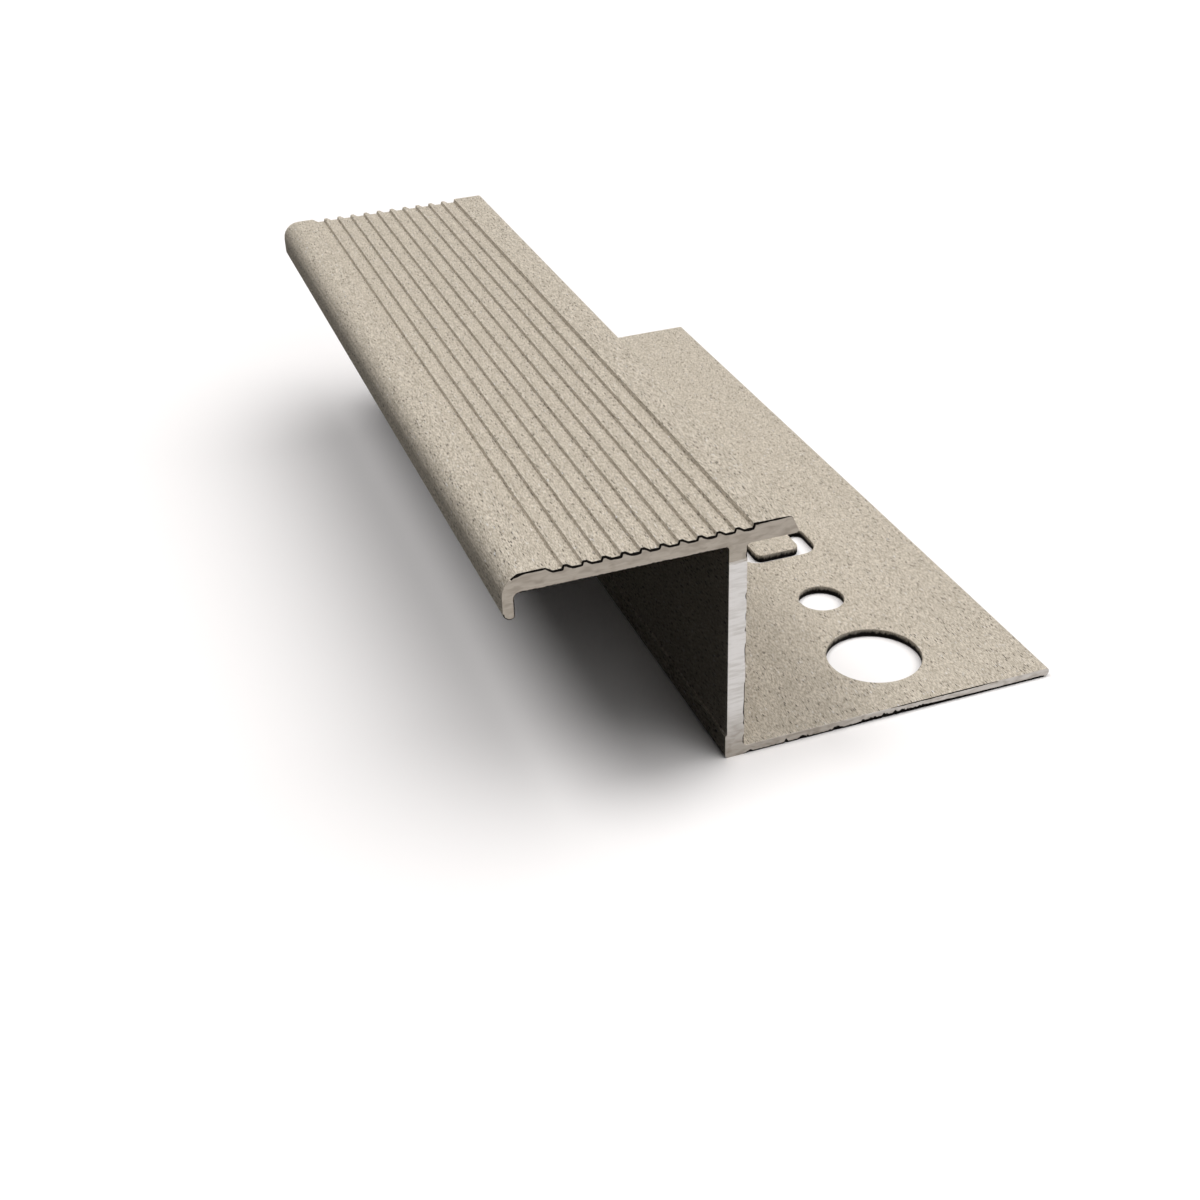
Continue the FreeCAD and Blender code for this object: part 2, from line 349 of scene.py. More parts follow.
def punched_bar_tree():
    """Geometry Nodes: extrude the section along the bar, punch the row of holes and slots
    through the leg, mark the punched rims for the Bevel modifier that rounds them, and give
    coat, punched walls and sawn ends their materials.
    """
    tree = bpy.data.node_groups.new("Punched Bar", "GeometryNodeTree")
    for name, kind in PUNCHED_BAR_INPUTS:
        tree.interface.new_socket(name, in_out="INPUT", socket_type=kind)
    tree.interface.new_socket("Bar", in_out="OUTPUT", socket_type="NodeSocketGeometry")
    given = add_node(tree, "NodeGroupInput").outputs

    along = add_node(tree, "ShaderNodeCombineXYZ", {"Y": given["Length"]})
    bar = extruded_solid(tree, given["Section"], along.outputs[0])
    coated = add_node(
        tree, "GeometryNodeSetMaterial", {"Geometry": bar, "Material": given["Coat"]}
    )

    thickness = given["Leg Thickness"]
    punch_height, middle, below = (
        add_node(tree, "ShaderNodeMath", {0: thickness, 1: times}, operation="MULTIPLY")
        for times in (PUNCH_HEIGHT, 0.5, PUNCH_START)
    )
    rows = []
    for kind in ("Large", "Small"):
        radius = add_node(
            tree, "ShaderNodeMath", {0: given[f"{kind} Diameter"], 1: 0.5}, operation="MULTIPLY"
        )
        punch = add_node(
            tree, "GeometryNodeMeshCylinder",
            {"Vertices": HOLE_SIDES, "Radius": radius.outputs[0], "Depth": punch_height.outputs[0]},
        )
        rows.append(punch_row(tree, punch.outputs[0], given, kind, middle.outputs[0]))
    slot_face = add_node(tree, "GeometryNodeObjectInfo", {"Object": given["Slot Outline"]})
    upwards = add_node(tree, "ShaderNodeCombineXYZ", {"Z": punch_height.outputs[0]})
    slot_punch = extruded_solid(tree, slot_face.outputs["Geometry"], upwards.outputs[0])
    rows.append(punch_row(tree, slot_punch, given, "Slot", below.outputs[0]))
    punches = add_node(tree, "GeometryNodeJoinGeometry", {"Geometry": rows})
    solid_punches = add_node(
        tree, "GeometryNodeRealizeInstances", {"Geometry": punches.outputs[0]}
    )
    walls = add_node(
        tree, "GeometryNodeSetMaterial",
        {"Geometry": solid_punches.outputs[0], "Material": given["Punched Wall"]},
    )
    punched = add_node(
        tree, "GeometryNodeMeshBoolean",
        {"Mesh 1": coated.outputs[0], "Mesh 2": walls.outputs[0]},
        operation="DIFFERENCE", solver="EXACT",
    )
    rims = add_node(
        tree, "GeometryNodeStoreNamedAttribute",
        {"Geometry": punched.outputs["Mesh"], "Name": "bevel_weight_edge",
         "Value": punched.outputs["Intersecting Edges"]},
        data_type="FLOAT", domain="EDGE",
    )

    place = add_node(tree, "GeometryNodeInputPosition")
    place_y = add_node(tree, "ShaderNodeSeparateXYZ", {"Vector": place.outputs[0]})
    from_middle = add_node(tree, "ShaderNodeMath", {0: place_y.outputs["Y"]}, operation="ABSOLUTE")
    cut_place = add_node(
        tree, "ShaderNodeMath", {0: given["Length"], 1: CUT_SHARE / 2}, operation="MULTIPLY"
    )
    at_cut = add_node(
        tree, "ShaderNodeMath", {0: from_middle.outputs[0], 1: cut_place.outputs[0]},
        operation="GREATER_THAN",
    )
    realized = add_node(tree, "GeometryNodeRealizeInstances", {"Geometry": rims.outputs[0]})
    sawn = add_node(
        tree, "GeometryNodeSetMaterial",
        {"Geometry": realized.outputs[0], "Selection": at_cut.outputs[0],
         "Material": given["Sawn Metal"]},
    )
    add_node(tree, "NodeGroupOutput", {0: sawn.outputs[0]})
    return tree


def add_nodes_modifier(piece, tree, values):
    """Puts the node tree on the piece, with its inputs set by their sockets' identifiers."""
    modifier = piece.modifiers.new(tree.name, "NODES")
    modifier.node_group = tree
    for item in tree.interface.items_tree:
        if item.in_out == "INPUT" and item.name in values:
            modifier[item.identifier] = values[item.name]


def bake(piece):
    """Turns what the piece's modifiers make into its own plain mesh."""
    depsgraph = bpy.context.evaluated_depsgraph_get()
    mesh = bpy.data.meshes.new_from_object(
        piece.evaluated_get(depsgraph), preserve_all_data_layers=True, depsgraph=depsgraph
    )
    piece.modifiers.clear()
    piece.data = mesh


def make_bar(s, materials):
    """The bar as extruded, punched and coated, before the saw tears its coat."""
    section = [
        (LOW.x + point.x, LOW.y, LOW.z + point.y)
        for point in reversed(rounded_outline(section_corners(s)))
    ]
    slot = [(point.x, point.y, 0) for point in reversed(rounded_outline(slot_corners(s)))]
    bar = flat_face("coated_profile", section)
    slot_outline = flat_face("slot_outline", slot)
    values = {
        "Slot Outline": slot_outline,
        "Length": BAR_LENGTH,
        "Leg Thickness": LEG_THICKNESS,
        "Row Place": ROW_X,
        "Row Period": ROW_PERIOD,
        "Large Diameter": s.large_diameter,
        "Small Diameter": SMALL_DIAMETER,
        **materials,
    }
    along_bar = {"Large": s.large_diameter, "Small": SMALL_DIAMETER, "Slot": s.slot_height}
    for index, (kind, reach) in enumerate(along_bar.items()):
        first = s.row_start + index * ROW_PERIOD / len(along_bar)
        room = BAR_LENGTH - first - reach / 2 - s.end_margin
        values[f"{kind} Start"] = LOW.y + first
        values[f"{kind} Count"] = math.floor(room / ROW_PERIOD) + 1
    add_nodes_modifier(bar, punched_bar_tree(), values)
    rims = bar.modifiers.new("Rims", "BEVEL")
    rims.limit_method = "WEIGHT"
    rims.width = s.rim_width
    rims.segments = RIM_SEGMENTS
    bake(bar)
    bpy.data.objects.remove(slot_outline)
    return bar


# how deep the saw tore the coat into the near cut, as (x from the nose, depth) in mm: along
# the tread's top, along the leg's underside, and along the leg's top. The near-black lines along
# the tread's top and the leg's underside are partly torn coat and partly painted shadow: the
# shadow in the crack under the coat's edge, and the contact shadow under the leg
TREAD_TEAR_AND_SHADOW = ((0.9, 0.15), (1.7, 0.22), (3.2, 0.16), (4.6, 0.16), (5.2, 0.23), (24.0, 0.22),
              (26.2, 0.25), (26.9, 0.18), (29.5, 0.16), (30.4, 0.03))
LEG_TEAR_AND_SHADOW = ((25.0, 0.0), (26.3, 0.20), (28.0, 0.16), (30.0, 0.22), (36.0, 0.24), (39.0, 0.28),
            (40.0, 0.48), (46.5, 0.52), (48.5, 0.50), (52.0, 0.38), (60.0, 0.30), (62.5, 0.32),
            (63.4, 0.2))
LEG_TOP_TEAR = ((42.6, 0.0), (45.0, 0.10), (54.0, 0.12), (58.0, 0.0))
# single chips in the leg's tear, as (x from the nose, depth, half width) in mm
LEG_CHIPS = ((26.3, 0.20, 0.4), (30.6, 0.50, 0.25), (32.6, 0.35, 0.6), (33.2, 0.35, 0.15),
             (36.8, 0.35, 0.7), (42.5, 0.35, 0.25), (43.9, 0.35, 0.3), (44.7, 0.25, 0.2))
# past this place the leg's tear is smooth
LEG_SMOOTH_START = 47.5 * MM
# how far below the tread's top its own tear reaches
TREAD_TEAR_REACH = 0.5 * MM
# the tear round the lip: its depth, and how far up the lip's front it reaches
LIP_TEAR, LIP_FRONT_TEAR = 0.11 * MM, 0.8 * MM
# where the dark line along the tread's underside starts, and its depth: painted shade on the
# shaded underside edge
UNDERSIDE_SHADE_LINE_START = 1.8 * MM
UNDERSIDE_SHADE_LINE = 0.12 * MM
# where the coat didn't tear: its rim on the cut, and how far the rim reaches along the bar
WHOLE_COAT = 0.05 * MM
WHOLE_COAT_ALONG = 0.03 * MM
# nicks in the web's back edge
NICK_DEPTH, NICK_SPACING, NICK_WIDTH, NICK_SEED = 0.3 * MM, 2.0 * MM, 0.45 * MM, 2.2
# the far cut tore less
FAR_SHARE = 0.3

# the noise that makes a tear uneven, as (size of its bumps, seed)
WAVES, CHIPS, CRUMBS = (0.8 * MM, 3.4), (0.5 * MM, 1.7), (0.2 * MM, 5.2)
CRUMB_SHARE = 0.6
# how uneven each tear is, as (the least share of its depth, what the noise adds to it)
TREAD_UNEVEN, TREAD_UNEVEN_ALONG = (0.8, 0.5), (0.6, 0.6)
LEG_UNEVEN, LEG_SMOOTH_UNEVEN, LEG_TOP_UNEVEN = (0.75, 0.8), (0.85, 0.3), (0.8, 0.6)
LIP_UNEVEN, UNDERSIDE_UNEVEN = (0.7, 1.0), (0.6, 1.0)
WHOLE_COAT_UNEVEN, WHOLE_COAT_UNEVEN_ALONG = (0.7, 0.5), (0.5, 1.0)
# how far a tear reaches along the bar, as a share of its depth into the cut
ALONG_SHARE, LEG_ALONG_SHARE = 0.5, 0.2
# how deep a tear has to be to show as a dark line
LEG_SHOWS, LEG_TOP_SHOWS, NICK_SHOWS = 0.06 * MM, 0.03 * MM, 0.04 * MM
# how near to the plane of a wall, or of a cut, a point lies to belong to it
WALL_TOLERANCE, CUT_TOLERANCE = 0.02 * MM, 0.01 * MM


def between(points, x):
    """The depth at x, on straight lines between the points."""
    for (x_before, before), (x_after, after) in zip(points, points[1:]):
        if x <= x_after:
            share = max(0.0, (x - x_before) / (x_after - x_before))
            return before + (after - before) * share
    return points[-1][1]


def ripple(place, bump, seed):
    """Smooth noise between -1 and 1 whose bumps are about this size."""
    return noise.noise(place / bump + Vector((seed, 0, 0)))


def chip(place, spacing, width, seed, height_seed_step=3.1):
    """A row of sharp chips at uneven places: up to 1 at each one's middle, and 0 between."""
    height = 0.5 + 0.5 * ripple(place, spacing, seed + height_seed_step)
    return height * max(0.0, 1.0 - abs(ripple(place, spacing, seed)) * spacing / width)


def uneven(depth, shares, roughness):
    """A depth that the noise varies."""
    least, added = shares
    return depth * (least + added * roughness)


def tear_at(s, x, z, side):
    """How the coat is torn at a point of a cut's outline: how far the tear reaches into the
    cut face, how far it reaches along the bar, and whether it shows as a dark line. The dark line
    is partly torn coat and partly painted shade along the edge.
    """
    place = Vector((x, side * BAR_LENGTH, z))
    ragged = abs(ripple(place, *CHIPS)) + CRUMB_SHARE * abs(ripple(place, *CRUMBS))
    waved = abs(ripple(place, *WAVES))
    at_near_end = side < 0
    share = 1.0 if at_near_end else FAR_SHARE
    web_back = s.nose_overhang + s.web_thickness
    lip_end = TREAD_TOP - s.lip_drop
    if z > TREAD_TOP - TREAD_TEAR_REACH and x > TREAD_TEAR_AND_SHADOW[0][0] * MM:
        depth = between(TREAD_TEAR_AND_SHADOW, x / MM) * MM * share
        along_bar = uneven(depth, TREAD_UNEVEN_ALONG, waved)
        return uneven(depth, TREAD_UNEVEN, waved), along_bar, at_near_end
    if z < WALL_TOLERANCE and x > s.nose_overhang:
        depth = between(LEG_TEAR_AND_SHADOW, x / MM) * MM * share
        if x > LEG_SMOOTH_START:
            return uneven(depth, LEG_SMOOTH_UNEVEN, waved), LEG_ALONG_SHARE * depth, True
        chips = [
            chip_depth * max(0, 1 - abs(x / MM - middle) / half_width)
            for middle, chip_depth, half_width in LEG_CHIPS
        ]
        torn = uneven(depth, LEG_UNEVEN, ragged) + max(chips) * MM * share
        return torn, LEG_ALONG_SHARE * torn, torn > LEG_SHOWS
    if abs(z - LEG_THICKNESS) < WALL_TOLERANCE and x > LEG_TOP_TEAR[0][0] * MM:
        depth = between(LEG_TOP_TEAR, x / MM) * MM * share
        torn = max(WHOLE_COAT, uneven(depth, LEG_TOP_UNEVEN, ragged))
        return torn, ALONG_SHARE * depth, depth > LEG_TOP_SHOWS
    round_lip = x < UNDERSIDE_SHADE_LINE_START and z < TREAD_UNDERSIDE + WALL_TOLERANCE
    if round_lip and (x > WALL_TOLERANCE or z < lip_end + LIP_FRONT_TEAR):
        return uneven(LIP_TEAR, LIP_UNEVEN, ragged), ALONG_SHARE * LIP_TEAR, at_near_end
    if abs(z - TREAD_UNDERSIDE) < WALL_TOLERANCE and x < s.nose_overhang:
        torn = uneven(UNDERSIDE_SHADE_LINE, UNDERSIDE_UNEVEN, ragged)
        return torn, ALONG_SHARE * UNDERSIDE_SHADE_LINE, at_near_end
    if abs(x - web_back) < WALL_TOLERANCE:
        nick = NICK_DEPTH * chip(place, NICK_SPACING, NICK_WIDTH, NICK_SEED)
        return WHOLE_COAT + nick, WHOLE_COAT_ALONG + nick, nick > NICK_SHOWS
    along_bar = uneven(WHOLE_COAT_ALONG, WHOLE_COAT_UNEVEN_ALONG, ragged)
    return uneven(WHOLE_COAT, WHOLE_COAT_UNEVEN, ragged), along_bar, False


def split_outline(face, step):
    """Adds points along a face's edges, so that none is longer than the step."""
    for edge in list(face.edges):
        start = edge.verts[0]
        for left in range(math.ceil(edge.calc_length() / step), 1, -1):
            _, start = bmesh.utils.edge_split(edge, start, 1 / left)


# how far to each side of a point its outline's direction is taken
OUTLINE_REACH = 0.25 * MM


def outline_direction(points, index, reach=OUTLINE_REACH):
    """The way an outline runs past a point, between two points a short reach away from it, so
    that a rim drawn along it stays even round small corners.
    """
    ends = []
    for step in (-1, 1):
        at, walked = index, 0.0
        while walked < reach:
            following = (at + step) % len(points)
            walked += (points[following] - points[at]).length
            at = following
        ends.append(points[at])
    return (ends[1] - ends[0]).normalized()


def tear_ends(s, mesh):
    """Breaks the coat along both cuts: each cut gets a narrow uneven rim round a face of bare sawn
    metal, near black where the coat is torn and where painted shade stands for the shadow along
    the edge.
    """
    metal, torn = (mesh.materials.find(name) for name in ("sawn_aluminium", "torn_coat_and_shade_edge"))
    solid = bmesh.new()
    solid.from_mesh(mesh)
    for side, plane in ((-1, LOW.y), (1, HIGH.y)):
        at_cut = [
            face for face in solid.faces
            if abs(face.calc_center_median().y - plane) < CUT_TOLERANCE
        ]
        cap = max(at_cut, key=lambda face: face.calc_area())
        split_outline(cap, s.tear_step)
        outer = [loop.vert for loop in cap.loops]
        places = [vertex.co.copy() for vertex in outer]
        outwards = Vector((0, side, 0))
        inner, dark = [], []
        for index, (vertex, place) in enumerate(zip(outer, places)):
            inwards = outwards.cross(outline_direction(places, index))
            depth, along_bar, shows = tear_at(s, place.x - LOW.x, place.z - LOW.z, side)
            inner.append(solid.verts.new(place + inwards * depth))
            dark.append(shows)
            vertex.co.y -= side * along_bar
        for index in range(len(outer)):
            after = (index + 1) % len(outer)
            rim = solid.faces.new((outer[index], outer[after], inner[after], inner[index]))
            # the near-black rim is partly torn coat and partly painted shadow along the edge
            rim.material_index = torn if dark[index] and dark[after] else metal
        cut = solid.faces.new(inner)
        cut.material_index = metal
        solid.faces.remove(cap)
    solid.normal_update()
    solid.to_mesh(mesh)
    solid.free()


def smooth_by_angle(piece, angle=math.radians(28)):
    """Shades the piece smooth with its sharp edges kept and its flat walls shaded flat."""
    piece.data.shade_smooth()
    piece.data.set_sharp_from_angle(angle=angle)
    weighted = piece.modifiers.new("Weighted Normal", "WEIGHTED_NORMAL")
    weighted.keep_sharp = True
    bake(piece)


def new_material(name):
    material = bpy.data.materials.new(name)
    material.use_nodes = True
    material.node_tree.nodes.clear()
    return material, material.node_tree


def rgba(colour_value):
    return (*colour_value, 1.0)


# the coat's patterns: the size of each across the bar, and how they are drawn out along it
GRAIN, STREAK, GRAIN_SHADOW, SPECK = 0.09 * MM, 0.45 * MM, 0.2 * MM, 0.16 * MM
COMBED = (1.0, 0.19, 1.0)
GRAIN_RELIEF = 0.05 * MM
DRY_AND_MATT = {"Roughness": 0.9, "Specular IOR Level": 0.1}


def coat_nodes(tree, colours):
    """The stone-effect coat, as a colour and a bump normal: a warm sandy ground combed along
    the bar, with short dark flecks that lie the same way and a few light specks. The dark flecks
    are painted shadow, for the tiny shadows that the coat's grains cast. The powder's own grains,
    of about 0.05 mm, are too fine to show and are drawn about twice as coarse.
    """
    place = add_node(tree, "ShaderNodeTexCoord").outputs["Object"]
    drawn = add_node(tree, "ShaderNodeMapping", {"Vector": place, "Scale": COMBED}).outputs[0]
    grains = add_node(
        tree, "ShaderNodeTexNoise",
        {"Vector": drawn, "Scale": 1 / GRAIN, "Detail": 1.0, "Roughness": 0.6},
    ).outputs[0]
    grain_tone = add_node(
        tree, "ShaderNodeMapRange", {"Value": grains, "From Min": 0.41, "From Max": 0.59}
    ).outputs[0]
    ground = add_node(
        tree, "ShaderNodeMix",
        {FACTOR: grain_tone, COLOUR_A: rgba(colours.coat_shade), COLOUR_B: rgba(colours.coat)},
        data_type="RGBA",
    ).outputs[MIXED_COLOUR]
    streaks = add_node(
        tree, "ShaderNodeTexNoise", {"Vector": drawn, "Scale": 1 / STREAK, "Detail": 1.0}
    ).outputs[0]
    streak_share = add_node(
        tree, "ShaderNodeMapRange",
        {"Value": streaks, "From Min": 0.45, "From Max": 0.65, "To Max": 0.3},
    ).outputs[0]
    ground = add_node(
        tree, "ShaderNodeMix",
        {FACTOR: streak_share, COLOUR_A: ground, COLOUR_B: rgba(colours.coat_cool)},
        data_type="RGBA",
    ).outputs[MIXED_COLOUR]

    # painted shadow: short dark flecks drawn out along the bar, for the shadows of the coat's
    # grains
    flecks = add_node(
        tree, "ShaderNodeTexVoronoi", {"Vector": drawn, "Scale": 1 / GRAIN_SHADOW}
    ).outputs
    grain_shadow_kinds = add_node(tree, "ShaderNodeSeparateColor", {"Color": flecks["Color"]}).outputs
    grain_shadow_reach = add_node(
        tree, "ShaderNodeMapRange",
        {"Value": flecks["Distance"], "From Min": 0.2, "From Max": 0.32,
         "To Min": 1.0, "To Max": 0.0},
    ).outputs[0]
    grain_shadow_depth = add_node(
        tree, "ShaderNodeMapRange", {"Value": grain_shadow_kinds[0], "From Min": 0.45, "From Max": 0.8}
    ).outputs[0]
    grain_shadow_share = add_node(
        tree, "ShaderNodeMath", {0: grain_shadow_reach, 1: grain_shadow_depth}, operation="MULTIPLY"
    ).outputs[0]
    ground = add_node(
        tree, "ShaderNodeMix",
        {FACTOR: grain_shadow_share, COLOUR_A: ground, COLOUR_B: rgba(colours.grain_shadow_and_crumb)},
        data_type="RGBA",
    ).outputs[MIXED_COLOUR]

    specks = add_node(
        tree, "ShaderNodeTexNoise", {"Vector": drawn, "Scale": 1 / SPECK, "Detail": 0.0}
    ).outputs[0]
    speck_share = add_node(
        tree, "ShaderNodeMapRange",
        {"Value": specks, "From Min": 0.76, "From Max": 0.82, "To Max": 0.7},
    ).outputs[0]
    ground = add_node(
        tree, "ShaderNodeMix",
        {FACTOR: speck_share, COLOUR_A: ground, COLOUR_B: rgba(colours.coat_speck)},
        data_type="RGBA",
    ).outputs[MIXED_COLOUR]
    bump = add_node(
        tree, "ShaderNodeBump", {"Height": grains, "Strength": 0.4, "Distance": GRAIN_RELIEF}
    ).outputs[0]
    return ground, bump


def stone_effect_powder_coat(colours):
    """Matt polyester powder coat with a stone effect. The eye sees a dry, sandy surface with
    no clear highlight.
    """
    material, tree = new_material("stone_effect_powder_coat")
    ground, bump = coat_nodes(tree, colours)
    shader = add_node(
        tree, "ShaderNodeBsdfPrincipled", {"Base Color": ground, **DRY_AND_MATT, "Normal": bump}
    )
    add_node(tree, "ShaderNodeOutputMaterial", {"Surface": shader.outputs[0]})
    return material


# the height at which a punching's wall is all dark, the height from which it is all coated,
# and how far the border between them wanders; the dark foot is partly the break-out zone and
# partly painted shade where the wall meets the floor
DARK_FOOT_TOP, COAT_START = 0.50 * MM, 0.90 * MM
DARK_FOOT_WANDER = 0.16 * MM
DARK_FOOT_STREAK = 0.3 * MM


def punched_wall(colours):
    """The wall of a punching: smooth and coated above, where the punch cut, and near black below,
    where the metal broke out ahead of it and where painted shade stands for the shadow at the
    wall's foot. The eye sees a shaded rim round each opening.
    """
    material, tree = new_material("punched_wall")
    ground, bump = coat_nodes(tree, colours)
    place = add_node(tree, "ShaderNodeTexCoord").outputs["Object"]
    upright = add_node(
        tree, "ShaderNodeMapping", {"Vector": place, "Scale": (1.0, 1.0, 0.3)}
    ).outputs[0]
    streaks = add_node(
        tree, "ShaderNodeTexNoise", {"Vector": upright, "Scale": 1 / DARK_FOOT_STREAK, "Detail": 2.0}
    ).outputs[0]
    ragged = add_node(
        tree, "ShaderNodeMapRange",
        {"Value": streaks, "From Min": 0.3, "From Max": 0.7,
         "To Min": -DARK_FOOT_WANDER, "To Max": DARK_FOOT_WANDER},
    ).outputs[0]
    height = add_node(tree, "ShaderNodeSeparateXYZ", {"Vector": place}).outputs["Z"]
    uneven_height = add_node(tree, "ShaderNodeMath", {0: height, 1: ragged}, operation="ADD")
    coated_share = add_node(
        tree, "ShaderNodeMapRange",
        {"Value": uneven_height.outputs[0], "From Min": DARK_FOOT_TOP, "From Max": COAT_START},
    ).outputs[0]
    # painted shade: the wall's lower part is near black, partly break-out and partly the shadow at
    # its foot
    wall = add_node(
        tree, "ShaderNodeMix",
        {FACTOR: coated_share, COLOUR_A: rgba(colours.torn_coat_and_shade), COLOUR_B: ground},
        data_type="RGBA",
    ).outputs[MIXED_COLOUR]
    shader = add_node(
        tree, "ShaderNodeBsdfPrincipled", {"Base Color": wall, **DRY_AND_MATT, "Normal": bump}
    )
    add_node(tree, "ShaderNodeOutputMaterial", {"Surface": shader.outputs[0]})
    return material


# where each tone of the sawn cut starts and where it is full: up the web, up to the tread,
# towards the nose's tip and towards the leg's free edge. The web's brighter tone and the
# duller tone of the tread and nose are a painted reflection; the leg's cut only gets lighter
# towards its free edge
WEB_PAINTED_GLEAM = (1.0 * MM, 6.5 * MM)
TREAD_PAINTED_DULLNESS = (24.0 * MM, 24.4 * MM)
NOSE_PAINTED_DULLNESS = (-20 * MM, -21 * MM)
LEG_END_LIGHTENING = (3 * MM, 11 * MM)
PAINTED_REFLECTION_WANDER = 0.3 * MM
WIDE_MARK, FINE_MARK, SMUDGE = 0.35 * MM, 0.1 * MM, 0.7 * MM
MARK_RELIEF = 0.02 * MM


def sawn_aluminium(colours):
    """Aluminium as a circular saw leaves it: fine marks across the section and a soft, greyish
    gleam. The web's part of the cut is painted brighter and the tread's and nose's duller, a
    painted reflection. The leg's cut is duller near the web and lighter towards its free edge,
    and the tread and leg are smudged.
    """
    material, tree = new_material("sawn_aluminium")
    place = add_node(tree, "ShaderNodeTexCoord").outputs["Object"]
    across = add_node(
        tree, "ShaderNodeMapping", {"Vector": place, "Scale": (0.12, 1.0, 1.0)}
    ).outputs[0]
    smeared = add_node(
        tree, "ShaderNodeMapping", {"Vector": place, "Scale": (0.45, 1.0, 1.0)}
    ).outputs[0]
    wide_marks = add_node(
        tree, "ShaderNodeTexNoise",
        {"Vector": across, "Scale": 1 / WIDE_MARK, "Detail": 3.0, "Roughness": 0.65},
    ).outputs[0]
    fine_marks = add_node(
        tree, "ShaderNodeTexNoise", {"Vector": across, "Scale": 1 / FINE_MARK, "Detail": 1.0}
    ).outputs[0]
    border = add_node(
        tree, "ShaderNodeMapRange",
        {"Value": wide_marks, "From Min": 0.3, "From Max": 0.7,
         "To Min": -PAINTED_REFLECTION_WANDER, "To Max": PAINTED_REFLECTION_WANDER},
    ).outputs[0]
    axes = add_node(tree, "ShaderNodeSeparateXYZ", {"Vector": place}).outputs
    uneven_height = add_node(
        tree, "ShaderNodeMath", {0: axes["Z"], 1: border}, operation="ADD"
    ).outputs[0]
    # painted reflection: the web's part of the cut is made brighter, the tread's and nose's duller
    web_share = add_node(
        tree, "ShaderNodeMapRange",
        {"Value": uneven_height, "From Min": WEB_PAINTED_GLEAM[0], "From Max": WEB_PAINTED_GLEAM[1]},
    ).outputs[0]
    tread_share = add_node(
        tree, "ShaderNodeMapRange",
        {"Value": uneven_height, "From Min": TREAD_PAINTED_DULLNESS[0], "From Max": TREAD_PAINTED_DULLNESS[1]},
    ).outputs[0]
    nose_share = add_node(
        tree, "ShaderNodeMapRange",
        {"Value": axes["X"], "From Min": NOSE_PAINTED_DULLNESS[0], "From Max": NOSE_PAINTED_DULLNESS[1]},
    ).outputs[0]
    painted_dull_share = add_node(
        tree, "ShaderNodeMath", {0: tread_share, 1: nose_share}, operation="MAXIMUM"
    ).outputs[0]
    # the leg's cut gets lighter towards its free edge
    leg_end_share = add_node(
        tree, "ShaderNodeMapRange",
        {"Value": axes["X"], "From Min": LEG_END_LIGHTENING[0], "From Max": LEG_END_LIGHTENING[1],
         "To Max": 0.45},
    ).outputs[0]
    bright_share = add_node(
        tree, "ShaderNodeMath", {0: web_share, 1: leg_end_share}, operation="MAXIMUM"
    ).outputs[0]
    leg_share = add_node(
        tree, "ShaderNodeMath", {0: 1.0, 1: web_share}, operation="SUBTRACT"
    ).outputs[0]
    smeared_share = add_node(
        tree, "ShaderNodeMath", {0: painted_dull_share, 1: leg_share}, operation="MAXIMUM"
    ).outputs[0]
    metal = add_node(
        tree, "ShaderNodeMix",
        {FACTOR: bright_share, COLOUR_A: rgba(colours.leg_cut), COLOUR_B: rgba(colours.web_cut)},
        data_type="RGBA",
    ).outputs[MIXED_COLOUR]
    metal = add_node(
        tree, "ShaderNodeMix",
        {FACTOR: painted_dull_share, COLOUR_A: metal, COLOUR_B: rgba(colours.tread_cut)},
        data_type="RGBA",
    ).outputs[MIXED_COLOUR]
    dull = add_node(
        tree, "ShaderNodeMapRange",
        {"Value": wide_marks, "From Min": 0.45, "From Max": 0.75, "To Max": 0.4},
    ).outputs[0]
    metal = add_node(
        tree, "ShaderNodeMix",
        {FACTOR: dull, COLOUR_A: metal, COLOUR_B: rgba(colours.saw_mark)}, data_type="RGBA",
    ).outputs[MIXED_COLOUR]
    smudges = add_node(
        tree, "ShaderNodeTexNoise",
        {"Vector": smeared, "Scale": 1 / SMUDGE, "Detail": 2.0, "Distortion": 0.6},
    ).outputs[0]
    smudge_share = add_node(
        tree, "ShaderNodeMapRange",
        {"Value": smudges, "From Min": 0.45, "From Max": 0.68, "To Max": 0.55},
    ).outputs[0]
    smudge_share = add_node(
        tree, "ShaderNodeMath", {0: smudge_share, 1: smeared_share}, operation="MULTIPLY"
    ).outputs[0]
    metal = add_node(
        tree, "ShaderNodeMix",
        {FACTOR: smudge_share, COLOUR_A: metal, COLOUR_B: rgba(colours.saw_mark)},
        data_type="RGBA",
    ).outputs[MIXED_COLOUR]
    bump = add_node(
        tree, "ShaderNodeBump", {"Height": fine_marks, "Strength": 0.3, "Distance": MARK_RELIEF}
    ).outputs[0]
    shader = add_node(
        tree, "ShaderNodeBsdfPrincipled",
        {"Base Color": metal, "Metallic": 1.0, "Roughness": 0.5, "Normal": bump},
    )
    add_node(tree, "ShaderNodeOutputMaterial", {"Surface": shader.outputs[0]})
    return material


TORN_CRUMB = 0.12 * MM


